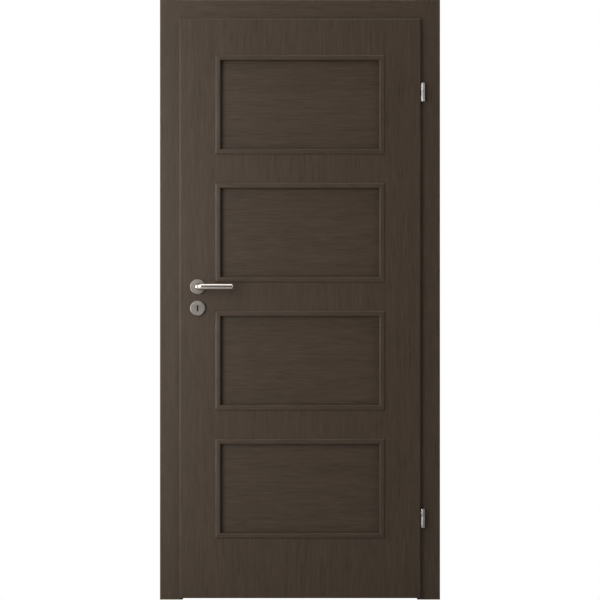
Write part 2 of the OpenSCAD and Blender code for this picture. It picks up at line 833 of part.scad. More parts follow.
// The latch: a head bevelled on its closing side, a tail and a hook that the follower's arm draws
module latch_bolt() {
    color(plate_steel) union() {
        translate([0, 0, latch_z - latch_h / 2]) linear_extrude(latch_h) polygon([
            [latch_x0, bolt_y0], [latch_x1, bolt_y0], [latch_x1, bolt_y1],
            [-body_x - latch_land, bolt_y1], [latch_x0, bolt_y0 + latch_nose]
        ]);
        block(
            [latch_x1 - cut, lock_y - tail_t / 2, tail_z0],
            [hook_x0 + hook_w, lock_y + tail_t / 2, tail_z1]
        );
        block(
            [hook_x0, lock_y - tail_t / 2, handle_z + follower_d / 2 + room],
            [hook_x0 + hook_w, lock_y + tail_t / 2, tail_z1]
        );
        translate([0, lock_y, tail_z0 + tail_h / 2])
            rod_x(hook_pin_d / 2, hook_x0 + hook_w - cut, hook_x0 + hook_w + hook_pin_l);
    }
}

// The dead bolt, drawn back flush: a slot runs on the guide post, and a notch takes the key's bit
module dead_bolt() {
    color(plate_steel) difference() {
        block(
            [-body_x, bolt_y0, deadbolt_z - deadbolt_h / 2],
            [deadbolt_x1, bolt_y1, deadbolt_z + deadbolt_h / 2]
        );
        translate([guide_x + deadbolt_throw / 2, 0, deadbolt_z]) along_y(bolt_y0 - cut, bolt_y1 + cut)
            rotate(90) slot(guide_d + slide, deadbolt_throw + guide_d + 2 * slide);
        translate([handle_x + deadbolt_throw / 2, 0, deadbolt_z - deadbolt_h / 2]) block(
            [-notch_w / 2, bolt_y0 - cut, -cut], [notch_w / 2, bolt_y1 + cut, notch_d]
        );
    }
}

// A coil of round wire between the latch's hook and the case's rear wall
module latch_spring() {
    sides = 8;
    steps = spring_turns * 12;
    wire_r = spring_wire / 2;
    coil_r = spring_d / 2 - wire_r;
    coil_z = tail_z0 + tail_h / 2;
    travel = spring_x1 - spring_x0 - spring_wire;
    rings = [for (i = [0 : steps], k = [0 : sides - 1])
        let (turn = 360 * spring_turns * i / steps, a = 360 * k / sides, r = coil_r + wire_r * cos(a))
        [
            spring_x0 + wire_r + travel * i / steps + wire_r * sin(a),
            lock_y + r * cos(turn), coil_z + r * sin(turn)
        ]
    ];
    tube = [for (i = [0 : steps - 1], k = [0 : sides - 1])
        let (n = (k + 1) % sides, a = i * sides, b = a + sides)
        [a + k, a + n, b + n, b + k]
    ];
    first = [for (k = [0 : sides - 1]) sides - 1 - k];
    last = [for (k = [0 : sides - 1]) steps * sides + k];
    color(steel) polyhedron(rings, concat([first], tube, [last]));
}

// Roses: a cover snapped over a base, and screws that clamp each pair through the leaf
module keyhole() {
    slot(keyhole_w, keyhole_h);
    translate([0, (keyhole_h - keyhole_top_d) / 2]) circle(d = keyhole_top_d);
}
module rose_shell(z) {
    r = rose_d / 2;
    translate([handle_x, face_y, z]) rotate([90, 0, 0]) difference() {
        rotate_extrude() {
            square([r, rose_h - rose_edge_r]);
            square([r - rose_edge_r, rose_h]);
            intersection() {
                translate([r - rose_edge_r, rose_h - rose_edge_r]) circle(rose_edge_r);
                square([r, rose_h]);
            }
        }
        translate([0, 0, -cut]) cylinder(r = r - rose_wall, h = rose_h - rose_wall + cut);
    }
}
module rose_base_disc(z, back) {
    r = rose_d / 2 - rose_wall - fit;
    difference() {
        translate([handle_x, 0, z]) rod_y(r, face_y - rose_base_t, face_y);
        translate([handle_x, 0, z]) for (s = [-1, 1]) translate([s * rose_screw_spacing / 2, 0, 0]) {
            rod_y(rose_screw_d / 2 + fit / 2, face_y - rose_base_t + (back ? -cut : room), face_y + cut);
            if (back) rod_y(rose_screw_head_d / 2 + fit, face_y - rose_base_t - cut, face_y - rose_seat);
        }
    }
}
module rose_base(back) {
    color(nylon) on_face(back) difference() {
        rose_base_disc(handle_z, back);
        translate([handle_x, 0, handle_z]) rod_y(spigot_d / 2 + run, face_y - rose_base_t - cut, face_y + cut);
    }
}
module rose_cover(back) {
    color(steel) on_face(back) difference() {
        rose_shell(handle_z);
        translate([handle_x, 0, handle_z]) rod_y(lever_d / 2 + collar_gap, face_y - rose_h - cut, face_y);
    }
}
module key_rose_base(back) {
    color(nylon) on_face(back) difference() {
        rose_base_disc(key_z, back);
        translate([handle_x, 0, key_z]) along_y(face_y - rose_base_t - cut, face_y + cut)
            slot(key_bore_w, key_bore_h);
    }
}
module key_rose_cover(back) {
    color(steel) on_face(back) difference() {
        rose_shell(key_z);
        translate([handle_x, 0, key_z]) along_y(face_y - rose_h - cut, face_y) keyhole();
    }
}
module rose_screws() {
    color(plate_steel) rose_screw_places() union() {
        rod_y(rose_screw_d / 2, face_y - rose_base_t + room + fit, back_y + rose_seat + cut);
        rod_y(rose_screw_head_d / 2, back_y + rose_seat, back_y + rose_seat + rose_screw_head_h);
    }
}

// Lever: a bearing spigot, a straight neck, a round elbow and a grip with a domed end
module grub_bore(r) {
    translate([handle_x, face_y - grub_out, handle_z]) rotate([180, 0, 0])
        translate([0, 0, spindle_w / 2 + run]) cylinder(r = r, h = lever_d / 2 - spindle_w / 2);
}
module lever(back) {
    r = lever_d / 2;
    grip_l = lever_l - lever_bend_r;
    color(steel) on_face(back) difference() {
        union() {
            translate([handle_x, 0, handle_z]) rod_y(spigot_d / 2, neck_y - cut, spigot_y);
            translate([handle_x, 0, handle_z]) rod_y(r, grip_y + lever_bend_r, neck_y);
            translate([handle_x + lever_bend_r, grip_y + lever_bend_r, handle_z]) rotate([0, 0, 180])
                rotate_extrude(angle = 90) translate([lever_bend_r, 0]) circle(r);
            translate([handle_x + lever_bend_r, grip_y, handle_z]) rotate([0, 90, 0]) rotate_extrude() {
                square([r, grip_l - lever_end_r]);
                square([r - lever_end_r, grip_l]);
                intersection() {
                    translate([r - lever_end_r, grip_l - lever_end_r]) circle(lever_end_r);
                    square([r, grip_l]);
                }
            }
        }
        spindle_bar(run, slide);
        grub_bore(grub_d / 2 + run);
    }
}
module spindle_bar(clearance, extra) {
    half = spindle_w / 2 + clearance;
    translate([handle_x, 0, handle_z]) block(
        [-half, spindle_y0 - extra, -half], [half, spindle_y1 + extra, half]
    );
}
module spindle() {
    color(plate_steel) spindle_bar(0, 0);
}
module lever_grub_screws() {
    color(plate_steel) for (back = [false, true]) on_face(back) intersection() {
        grub_bore(grub_d / 2);
        translate([handle_x, 0, handle_z]) rod_y(lever_d / 2 - room, grip_y, face_y);
    }
}

// The follower turns in the case on the spindle, and its arm draws the latch
module follower() {
    color(plate_steel) difference() {
        union() {
            translate([handle_x, 0, handle_z]) rod_y(follower_boss_d / 2, case_y0, case_y1);
            translate([handle_x, 0, handle_z]) rod_y(follower_d / 2, bolt_y0, bolt_y1);
            translate([handle_x, 0, handle_z]) block(
                [-arm_w / 2, lock_y - tail_t / 2, 0], [arm_w / 2, lock_y + tail_t / 2, arm_r]
            );
        }
        spindle_bar(run, 0);
    }
}

jamb_lock_side();
jamb_hinge_side();
jamb_head();
architrave_front_lock_side();
architrave_front_hinge_side();
architrave_front_head();
architrave_rear_lock_side();
architrave_rear_hinge_side();
architrave_rear_head();
frame_seal();
strike_plate();
strike_screws();
frame_knuckle(upper_hinge_z);  // hinge_frame_knuckle_upper
frame_knuckle(lower_hinge_z);  // hinge_frame_knuckle_lower
hinge_pin(upper_hinge_z);  // hinge_pin_upper
hinge_pin(lower_hinge_z);  // hinge_pin_lower
stile_lock();
stile_hinge();
rail_between(0);  // rail_top
rail_between(1);  // rail_upper
rail_between(2);  // rail_middle
rail_between(3);  // rail_lower
rail_between(4);  // rail_bottom
skin_front();
skin_back();
panel(1);  // panel_1
panel(2);  // panel_2
panel(3);  // panel_3
panel(4);  // panel_4
bead_ring(1, false);  // beads_front_1
bead_ring(2, false);  // beads_front_2
bead_ring(3, false);  // beads_front_3
bead_ring(4, false);  // beads_front_4
bead_ring(1, true);  // beads_back_1
bead_ring(2, true);  // beads_back_2
bead_ring(3, true);  // beads_back_3
bead_ring(4, true);  // beads_back_4
leaf_knuckle(upper_hinge_z);  // hinge_leaf_knuckle_upper
leaf_knuckle(lower_hinge_z);  // hinge_leaf_knuckle_lower
lock_case();
lock_cover();
lock_faceplate();
lock_screws();
latch_spring();
rose_base(false);  // rose_base_front
rose_base(true);  // rose_base_back
rose_cover(false);  // rose_cover_front
rose_cover(true);  // rose_cover_back
key_rose_base(false);  // key_rose_base_front
key_rose_base(true);  // key_rose_base_back
key_rose_cover(false);  // key_rose_cover_front
key_rose_cover(true);  // key_rose_cover_back
rose_screws();
lever(false);  // lever_front
lever(true);  // lever_back
spindle();
follower();
lever_grub_screws();
latch_bolt();
dead_bolt();
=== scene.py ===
import json
import math

import bmesh
import bpy
import numpy as np
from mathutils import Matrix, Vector


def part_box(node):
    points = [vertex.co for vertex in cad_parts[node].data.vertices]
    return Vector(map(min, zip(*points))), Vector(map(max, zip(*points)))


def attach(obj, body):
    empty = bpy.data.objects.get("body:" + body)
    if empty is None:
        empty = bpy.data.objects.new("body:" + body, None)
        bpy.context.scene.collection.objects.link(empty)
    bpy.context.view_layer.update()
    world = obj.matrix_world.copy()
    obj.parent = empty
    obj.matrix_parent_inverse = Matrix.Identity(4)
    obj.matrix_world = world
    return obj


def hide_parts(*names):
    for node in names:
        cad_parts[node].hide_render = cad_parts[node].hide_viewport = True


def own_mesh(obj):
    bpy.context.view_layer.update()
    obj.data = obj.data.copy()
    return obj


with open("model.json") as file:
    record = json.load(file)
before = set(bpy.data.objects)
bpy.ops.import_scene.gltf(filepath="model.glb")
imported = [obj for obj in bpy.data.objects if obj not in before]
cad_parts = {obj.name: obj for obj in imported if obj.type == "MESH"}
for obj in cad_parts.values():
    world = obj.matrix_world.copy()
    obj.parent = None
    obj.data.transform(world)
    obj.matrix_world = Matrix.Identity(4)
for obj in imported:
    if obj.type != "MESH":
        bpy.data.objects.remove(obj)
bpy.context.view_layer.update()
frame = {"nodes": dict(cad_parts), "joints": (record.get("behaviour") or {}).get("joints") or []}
nodes = frame["nodes"]
joints = {joint["name"]: joint for joint in frame["joints"]}
mm = 0.001
white = (1.0, 1.0, 1.0, 1.0)
leafFaces = (("front", -1), ("back", 1))  # the way along y that is outwards on each face
print("frame loaded with", len(nodes), "nodes")


# Mesh helpers: a shape is a grid of points, and a shell is (points, quads, end caps, finish of its faces)

# Quads of a grid: point (i, j) is joined to its next row and its next column, round again where it closes
def gridFaces(rows, cols, closeRows=False, closeCols=False):
    i = np.arange(rows if closeRows else rows - 1)
    j = np.arange(cols if closeCols else cols - 1)
    i, j = np.meshgrid(i, j, indexing="ij")
    nextI, nextJ = (i + 1) % rows, (j + 1) % cols
    quads = np.stack([i * cols + j, nextI * cols + j, nextI * cols + nextJ, i * cols + nextJ], -1)
    return quads.reshape(-1, 4)


# A closed outline carried along sections, an array of (sections, outline points, 3), with a flat cap at each end
def sweepShell(sections, finish=0):
    rows, cols = sections.shape[:2]
    ring = np.arange(cols)
    caps = [ring[::-1], ring + (rows - 1) * cols]
    return sections.reshape(-1, 3), gridFaces(rows, cols, closeCols=True), caps, finish


# A shape's own x, y and height laid along three axes from an origin: origin + x * first + y * second + h * third
def laid(points, place):
    origin, axes = place
    return np.array(origin) + points.reshape(-1, 3) @ np.array(axes, float)


# A profile of (radius, height) turned round an axis: x = r cos a, y = r sin a, height kept
def turnedShell(profile, place, sides):
    a = np.linspace(0, 2 * math.pi, sides, endpoint=False)
    r, h = profile[:, :1], profile[:, 1:]
    points = np.stack([r * np.cos(a), r * np.sin(a), np.broadcast_to(h, (len(profile), sides))], -1)
    return laid(points, place), gridFaces(len(profile), sides, closeCols=True), [], 0


# Corner arc of a profile: centre plus radius times (cos, sin) between two angles in degrees
def arc(cx, cy, radius, start, end, steps):
    a = np.radians(np.linspace(start, end, steps))
    return np.stack([cx + radius * np.cos(a), cy + radius * np.sin(a)], -1)


# The higher of two values for a way of +1, the lower for -1
def endOf(low, high, way):
    return high if way > 0 else low


# A new object at the origin, linked into the scene
def addObject(name, data):
    made = bpy.data.objects.new(name, data)
    bpy.context.scene.collection.objects.link(made)
    return made


weld = {"doubles": 1e-6, "slivers": 1e-7}  # distances within which points and thin faces are merged


# One piece from its shells: faces count on from the points before them, doubles are merged, normals point outwards,
# and the shading stays smooth up to the sharp angle in degrees
def makePiece(name, shells, body, replaced, finishes, sharpAngle=32):
    faces, marks, start = [], [], 0
    for shellPoints, quads, caps, finish in shells:
        shellFaces = (quads + start).tolist() + [(cap + start).tolist() for cap in caps]
        faces += shellFaces
        marks.append(np.broadcast_to(finish, len(shellFaces)))
        start += len(shellPoints)
    mesh = bpy.data.meshes.new(name)
    mesh.from_pydata(np.concatenate([shell[0] for shell in shells]).tolist(), [], faces)
    mesh.polygons.foreach_set("material_index", np.concatenate(marks).astype(np.int32))
    bm = bmesh.new()
    bm.from_mesh(mesh)
    bmesh.ops.remove_doubles(bm, verts=bm.verts, dist=weld["doubles"])
    bmesh.ops.dissolve_degenerate(bm, edges=bm.edges, dist=weld["slivers"])
    bmesh.ops.recalc_face_normals(bm, faces=bm.faces)
    bm.to_mesh(mesh)
    bm.free()
    mesh.shade_smooth()
    mesh.set_sharp_from_angle(angle=math.radians(sharpAngle))
    piece = addObject(name, mesh)
    for finish in finishes:
        mesh.materials.append(finish)
    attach(piece, body)
    if replaced:
        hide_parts(*replaced)
    return piece


# Finishes: node helpers first

# A new material with its node tree and its shader
def newFinish(name):
    material = bpy.data.materials.new(name)
    material.use_nodes = True
    tree = material.node_tree
    return material, tree, tree.nodes["Principled BSDF"]


# A node with values in its sockets; an underscore in a key stands for a space
def addNode(tree, kind, **sockets):
    node = tree.nodes.new(kind)
    for key, value in sockets.items():
        node.inputs[key.replace("_", " ")].default_value = value
    return node


# One sum, product or the like of two values, each a number or the output of a node
def mathNode(tree, operation, a, b):
    node = tree.nodes.new("ShaderNodeMath")
    node.operation = operation
    for socket, value in zip(node.inputs, (a, b)):
        if isinstance(value, (int, float)):
            socket.default_value = value
        else:
            tree.links.new(value, socket)
    return node.outputs["Value"]


# A value's stretch from low to high moved to another stretch in a straight line, held at both ends
def mapRange(tree, value, low, high, toLow, toHigh):
    node = addNode(tree, "ShaderNodeMapRange", From_Min=low, From_Max=high, To_Min=toLow, To_Max=toHigh)
    tree.links.new(value, node.inputs["Value"])
    return node.outputs["Result"]


# Noise stretched along an axis: noise of the object coordinates times a scale for each axis, plus a shift
def stretchedNoise(tree, coords, scale, shift, detail, roughness=0.55):
    mapping = addNode(tree, "ShaderNodeMapping", Scale=scale, Location=shift)
    noise = addNode(tree, "ShaderNodeTexNoise", Scale=1.0, Detail=detail, Roughness=roughness)
    tree.links.new(coords.outputs["Object"], mapping.inputs["Vector"])
    tree.links.new(mapping.outputs["Vector"], noise.inputs["Vector"])
    return noise.outputs["Fac"]


# The shader's colour read from a value, in straight lines between colours that stand at rising places from 0 to 1
def linkColour(tree, shader, value, places, colours):
    ramp = tree.nodes.new("ShaderNodeValToRGB")
    stops = ramp.color_ramp.elements
    stops[0].position = places[0]
    stops[1].position = places[-1]
    for place in places[1:-1]:
        stops.new(place)
    for stop, colour in zip(stops, colours):
        stop.color = tuple(colour) + (1.0,)
    tree.links.new(value, ramp.inputs["Fac"])
    tree.links.new(ramp.outputs["Color"], shader.inputs["Base Color"])


# The shader's normal tilted by the slope of a height
def linkBump(tree, shader, height, strength, depth):
    bump = addNode(tree, "ShaderNodeBump", Strength=strength, Distance=depth)
    tree.links.new(height, bump.inputs["Height"])
    tree.links.new(bump.outputs["Normal"], shader.inputs["Normal"])


woodLook = {
    "dark": (0.0362, 0.0238, 0.0147),
    "mid": (0.0570, 0.0382, 0.0242),
    "light": (0.0778, 0.0533, 0.0349),
    "places": (0.26, 0.50, 0.74),  # tones at which the wood is dark, mid and light
    # Features per metre across and along the grain, share of the tone, then the noise's detail and roughness
    "bands": (38.0, 1.4, 0.20, 3.0, 0.55),
    "fibres": (430.0, 7.0, 0.52, 4.0, 0.6),
    "streaks": (230.0, 16.0, 0.28, 2.0, 0.5),
    "pores": (1700.0, 45.0, 0.12, 2.0, 0.55),
    # Noise at which a pale streak, a dark streak or a pore begins and is full; a pore's strength is its share
    "lightStreak": (0.60, 0.70, 0.09),
    "darkStreak": (0.40, 0.30, 0.11),
    "poreRange": (0.60, 0.72),
    "fibreRange": (0.3, 0.7),  # the rough and the smooth end of the fibres
    "roughness": (0.48, 0.36),
    "specular": 0.35,
    "bump": 0.10,
    "bumpDepth": 0.6 * mm,
}


# Dark stained wood: tone = shares of bands, fibres and streaks + pale streaks - dark streaks - pores, read through
# three colours
def woodFinish(name, grain, shift, tint=1.0):
    material, tree, shader = newFinish(name)
    coords = tree.nodes.new("ShaderNodeTexCoord")

    def grainNoise(key):  # noise scaled by the features across the grain and along it
        across, along, share, detail, roughness = woodLook[key]
        scale = tuple(along if axis == grain else across for axis in "xyz")
        return stretchedNoise(tree, coords, scale, shift, detail, roughness), share

    def weighted(value, share):  # the value times its share
        return mathNode(tree, "MULTIPLY", value, share)

    bands, bandShare = grainNoise("bands")
    fibres, fibreShare = grainNoise("fibres")
    streaks, streakShare = grainNoise("streaks")
    pores, poreShare = grainNoise("pores")
    tone = mathNode(tree, "ADD", weighted(bands, bandShare), weighted(fibres, fibreShare))
    tone = mathNode(tree, "ADD", tone, weighted(streaks, streakShare))
    for key, operation in (("lightStreak", "ADD"), ("darkStreak", "SUBTRACT")):
        begin, full, strength = woodLook[key]
        tone = mathNode(tree, operation, tone, mapRange(tree, streaks, begin, full, 0.0, strength))
    tone = mathNode(tree, "SUBTRACT", tone, mapRange(tree, pores, *woodLook["poreRange"], 0.0, poreShare))
    colours = [[tint * c for c in woodLook[key]] for key in ("dark", "mid", "light")]
    linkColour(tree, shader, tone, woodLook["places"], colours)
    rough = mapRange(tree, fibres, *woodLook["fibreRange"], *woodLook["roughness"])
    tree.links.new(rough, shader.inputs["Roughness"])
    linkBump(tree, shader, tone, woodLook["bump"], woodLook["bumpDepth"])
    shader.inputs["Specular IOR Level"].default_value = woodLook["specular"]
    return material


metalLook = {
    "hairShare": 0.6,
    "hairShift": (0.3, 0.7, 0.1),
    "hairDetail": 2.0,
    "cloudShare": 0.4,
    "cloudScale": (60.0, 60.0, 60.0),
    "cloudShift": (1.0, 2.0, 3.0),
    "cloudDetail": 3.0,
    "toneRange": (0.3, 0.7),
    "contrast": (0.88, 1.10),  # the colour's share at both ends of the tone
    "bump": 0.04,
    "bumpDepth": 0.2 * mm,
}


# Brushed metal: tone = shares of hair lines, noise stretched along the brushing, and of a cloud; the tone sets the
# colour and the roughness, the hair lines a shallow bump
def metalFinish(name, colour, roughness, brushAxis, lines=2600.0, along=30.0):
    material, tree, shader = newFinish(name)
    coords = tree.nodes.new("ShaderNodeTexCoord")
    scale = tuple(along if axis == brushAxis else lines for axis in "xyz")
    hair = stretchedNoise(tree, coords, scale, metalLook["hairShift"], metalLook["hairDetail"])
    cloud = stretchedNoise(tree, coords, metalLook["cloudScale"], metalLook["cloudShift"],
                           metalLook["cloudDetail"])
    tone = mathNode(tree, "ADD", mathNode(tree, "MULTIPLY", hair, metalLook["hairShare"]),
                    mathNode(tree, "MULTIPLY", cloud, metalLook["cloudShare"]))
    colours = [[share * c for c in colour] for share in metalLook["contrast"]]
    linkColour(tree, shader, tone, metalLook["toneRange"], colours)
    tree.links.new(mapRange(tree, tone, *metalLook["toneRange"], *roughness), shader.inputs["Roughness"])
    linkBump(tree, shader, hair, metalLook["bump"], metalLook["bumpDepth"])
    shader.inputs["Metallic"].default_value = 1.0
    return material


mouldedLook = {
    "shift": (0.2, 0.4, 0.6),
    "detail": 3.0,
    "toneRange": (0.3, 0.7),
    "bump": 0.12,
    "bumpDepth": 0.2 * mm,
}


# Moulded nylon or rubber: one even noise gives a speckled tone, the roughness and a fine pebble bump
def mouldedFinish(name, dark, light, roughness, speckles, specular):
    material, tree, shader = newFinish(name)
    coords = tree.nodes.new("ShaderNodeTexCoord")
    speckle = stretchedNoise(tree, coords, (speckles,) * 3, mouldedLook["shift"], mouldedLook["detail"])
    linkColour(tree, shader, speckle, (0.0, 1.0), (dark, light))
    tree.links.new(mapRange(tree, speckle, *mouldedLook["toneRange"], *roughness), shader.inputs["Roughness"])
    linkBump(tree, shader, speckle, mouldedLook["bump"], mouldedLook["bumpDepth"])
    shader.inputs["Specular IOR Level"].default_value = specular
    return material


uprightWood = woodFinish("frameUprightWood", "z", (0.0, 0.0, 0.0))
headWood = woodFinish("frameHeadWood", "x", (3.1, 1.7, 0.4))
leafWood = woodFinish("leafWood", "z", (5.3, 2.2, 7.9))
panelWood = woodFinish("panelWood", "x", (8.4, 4.1, 2.6), 0.98)
beadUprightWood = woodFinish("mouldingUprightWood", "z", (11.2, 6.5, 1.3))
beadRailWood = woodFinish("mouldingRailWood", "x", (13.7, 9.1, 4.8))
satinSteel = metalFinish("satinSteel", (0.68, 0.615, 0.565), (0.14, 0.22), "x")
roseSteel = metalFinish("roseSteel", (0.37, 0.336, 0.303), (0.30, 0.37), "x")
turnedSteel = metalFinish("turnedSteel", (0.46, 0.43, 0.41), (0.34, 0.46), "x", 2400.0, 90.0)
zincSteel = metalFinish("zincSteel", (0.60, 0.60, 0.58), (0.30, 0.46), "z")
blackNylon = mouldedFinish("blackNylon", (0.005, 0.005, 0.005), (0.010, 0.010, 0.010),
                           (0.6, 0.8), 1400.0, 0.2)
sealRubber = mouldedFinish("sealRubber", (0.010, 0.009, 0.008), (0.024, 0.022, 0.020),
                           (0.6, 0.8), 900.0, 0.25)
print("finishes made:", len(bpy.data.materials))


# One finish on CAD nodes, in place of their plain one
def dress(finish, *names):
    for name in names:
        nodes[name].data.materials.clear()
        nodes[name].data.materials.append(finish)


dress(uprightWood, "jamb_lock_side", "jamb_hinge_side", "architrave_front_lock_side",
      "architrave_front_hinge_side", "architrave_rear_lock_side", "architrave_rear_hinge_side")
dress(headWood, "jamb_head", "architrave_front_head", "architrave_rear_head")
dress(leafWood, "stile_lock", "stile_hinge", "rail_top", "rail_upper", "rail_middle", "rail_lower",
      "rail_bottom", "skin_front", "skin_back")
dress(panelWood, "panel_1", "panel_2", "panel_3", "panel_4")
dress(satinSteel, "lever_front", "lever_back", "rose_cover_front", "rose_cover_back",
      "key_rose_cover_front", "key_rose_cover_back", "lock_faceplate")
dress(turnedSteel, "hinge_leaf_knuckle_upper", "hinge_leaf_knuckle_lower", "hinge_frame_knuckle_upper",
      "hinge_frame_knuckle_lower")
dress(zincSteel, "strike_plate", "strike_screws", "hinge_pin_upper", "hinge_pin_lower", "lock_case",
      "lock_cover", "lock_screws", "latch_spring", "rose_screws", "spindle", "follower",
      "lever_grub_screws", "latch_bolt", "dead_bolt")
dress(blackNylon, "rose_base_front", "rose_base_back", "key_rose_base_front", "key_rose_base_back")
dress(sealRubber, "frame_seal")
print("nodes dressed")


# Joint fillets: square strips that close the groove at both ends of a head, flush with the architraves' faces
fillet = {"architraveWidth": 80 * mm, "edgeRadius": 2 * mm}


# A square of the edge's radius in the plan, from the joint into the upright, carried up over the head's height
def filletShell(side, outerX, faceY, outward, topZ):
    size = fillet["edgeRadius"]
    jointX = outerX - side * fillet["architraveWidth"]
    x = jointX + side * np.array([0.0, size, size, 0.0])
    y = faceY - outward * np.array([0.0, 0.0, size, size])
    ends = (topZ - fillet["architraveWidth"], topZ)
    return sweepShell(np.stack([np.stack([x, y, np.full_like(x, z)], -1) for z in ends]))


for faceName, outward in (("front", -1), ("rear", 1)):
    shells = []
    for sideName, side in (("lock_side", -1), ("hinge_side", 1)):
        low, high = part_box(f"architrave_{faceName}_{sideName}")
        outerX, faceY = endOf(low.x, high.x, side), endOf(low.y, high.y, outward)
        shells.append(filletShell(side, outerX, faceY, outward, high.z))
    makePiece(f"architrave_fillets_{faceName}", shells, "frame", [], [uprightWood])
print("joint fillets made: 4")


# Panel mouldings: a crowned cap over the facing's edge and a leg down to the panel, mitred at the corners
moulding = {
    "width": 19 * mm,
    "rise": 4.5 * mm,
    "tilt": 1.0,  # the cap's face leans outwards by this angle
    "innerRound": 4 * mm,
    "innerSteps": 16,
    "outerRun": 6 * mm,
    "outerSteps": 14,
    "lap": 8.2 * mm,
    "mitreGap": 0.1 * mm,
}


# Section (u inward from the outer edge, v out of the face): an outer arc from the face to the point (a, b), of
# radius (a^2 + b^2) / 2(b cos t - a sin t), a straight face leaning by the tilt t, a quarter round and the leg
def mouldingSection(leg):
    lean, width, lap = moulding["tilt"], moulding["width"], moulding["lap"]
    tilt, inner, a = math.radians(lean), moulding["innerRound"], moulding["outerRun"]
    innerU, innerV = width - inner, moulding["rise"] - inner
    meetU, meetV = innerU - inner * math.sin(tilt), innerV + inner * math.cos(tilt)
    b = meetV - (meetU - a) * math.tan(tilt)
    outer = (a**2 + b**2) / (2 * (b * math.cos(tilt) - a * math.sin(tilt)))
    outerU, outerV = a + outer * math.sin(tilt), b - outer * math.cos(tilt)
    begin = math.degrees(math.atan2(-outerV, -outerU))
    slope = arc(outerU, outerV, outer, begin, 90 + lean, moulding["outerSteps"])
    nose = arc(innerU, innerV, inner, 90 + lean, 0, moulding["innerSteps"])
    feet = np.array([[width, -leg], [lap, -leg], [lap, 0.0]])
    return np.concatenate([slope, nose, feet])


# One strip: the section at both ends, where each fibre is shorter by its own inset u, so the ends meet at 45 degrees
def mouldingStrip(section, isRail, sign, ringSize, faceY, outward, centreZ):
    u, v = section.T
    length, across = ringSize if isRail else ringSize[::-1]
    half = (length - moulding["mitreGap"]) / 2 - u
    ends = np.stack([-half, half])
    inset = np.broadcast_to(sign * (across / 2 - u), ends.shape)
    depth = np.broadcast_to(faceY + outward * v, ends.shape)
    x, z = (ends, inset) if isRail else (inset, ends)
    return sweepShell(np.stack([x, depth, centreZ + z], -1), 1 if isRail else 0)


for faceName, outward in leafFaces:
    for number in (1, 2, 3, 4):
        nodeName = f"beads_{faceName}_{number}"
        low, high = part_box(nodeName)
        panelLow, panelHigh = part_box(f"panel_{number}")
        faceY = endOf(low.y, high.y, outward) - outward * moulding["rise"]
        section = mouldingSection(abs(endOf(panelLow.y, panelHigh.y, outward) - faceY))
        ringSize, centreZ = (high.x - low.x, high.z - low.z), (low.z + high.z) / 2
        strips = [mouldingStrip(section, isRail, sign, ringSize, faceY, outward, centreZ)
                  for sign in (1, -1) for isRail in (True, False)]
        makePiece(f"moulding_{faceName}_{number}", strips, "leaf", [nodeName],
                  [beadUprightWood, beadRailWood])
print("mouldings made: 8 rings of 4 strips")


# Levers: a round tube swept along neck, elbow and grip, closed by a rounded end
lever = {
    "radius": 11 * mm,
    "spigotRadius": 8 * mm,
    "spigotLength": 6.2 * mm,
    "collarEase": 0.6 * mm,
    "bendRadius": 17 * mm,
    "bendSteps": 20,
    "endRadius": 6.5 * mm,
    "endSteps": 12,
    "sides": 56,
}


# Ring of points round the path: centre + r (cos a * side + sin a * up), up is z and side lies in the path's plane
def tubeRings(centres, sides, radii):
    a = np.linspace(0, 2 * math.pi, lever["sides"], endpoint=False)
    up = np.array([0.0, 0.0, 1.0])
    across = np.cos(a)[None, :, None] * sides[:, None, :] + np.sin(a)[None, :, None] * up
    return centres[:, None, :] + radii[:, None, None] * across


# Path as (along the grip, out of the leaf): a straight neck, a quarter turn of the bend's radius and a straight grip;
# the tube's radius steps up at the collar and closes as a quarter round, and the heading turns from 0 to 90 degrees
def leverPath(out, length):
    thin, full, seat = lever["spigotRadius"], lever["radius"], lever["spigotLength"]
    ease, bend, rounding = lever["collarEase"], lever["bendRadius"], lever["endRadius"]
    neckOut = np.array([0.0, seat, seat, seat + ease, out - bend])
    neck = np.stack([np.zeros_like(neckOut), neckOut], -1)
    neckRadii = np.array([thin, thin, full - ease, full, full])
    turn = np.linspace(0, math.pi / 2, lever["bendSteps"])[1:]
    elbow = np.stack([bend - bend * np.cos(turn), out - bend + bend * np.sin(turn)], -1)
    closing = np.linspace(0, math.pi / 2, lever["endSteps"])
    end = np.stack([length - rounding + rounding * np.sin(closing), np.full_like(closing, out)], -1)
    endRadii = full - rounding + rounding * np.cos(closing)
    path = np.concatenate([neck, elbow, end])
    radii = np.concatenate([neckRadii, np.full_like(turn, full), endRadii])
    headings = np.concatenate([np.zeros_like(neckRadii), turn, np.full_like(closing, math.pi / 2)])
    return path, radii, headings


for faceName, outward in leafFaces:
    nodeName = f"lever_{faceName}"
    low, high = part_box(nodeName)
    startY = endOf(low.y, high.y, -outward)
    axisX, axisZ = low.x + lever["radius"], (low.z + high.z) / 2
    path, radii, headings = leverPath(high.y - low.y - lever["radius"], high.x - axisX)
    centres = np.stack([axisX + path[:, 0], startY + outward * path[:, 1], np.full(len(path), axisZ)], -1)
    sides = np.stack([np.cos(headings), -outward * np.sin(headings), np.zeros_like(headings)], -1)
    tube = sweepShell(tubeRings(centres, sides, radii))
    makePiece(f"lever_grip_{faceName}", [tube], "handle", [nodeName], [satinSteel])
print("levers made: 2")


# Roses: a thin cup with a rounded rim, and a front plate that runs from a hole's outline out to the rim, with painted
# shade on the hole's wall and under the plate
rose = {
    "wall": 1.2 * mm,
    "rim": 1.0 * mm,
    "rimSteps": 8,
    "neckHole": (23 * mm, 23 * mm),  # width and height
    "keyHole": (5.5 * mm, 20.5 * mm),
    "holeEase": 0.1 * mm,
    "plateLoops": 9,
    "crowding": 0.6,  # how far the points gather towards the ends of a long hole
    "points": 240,
}


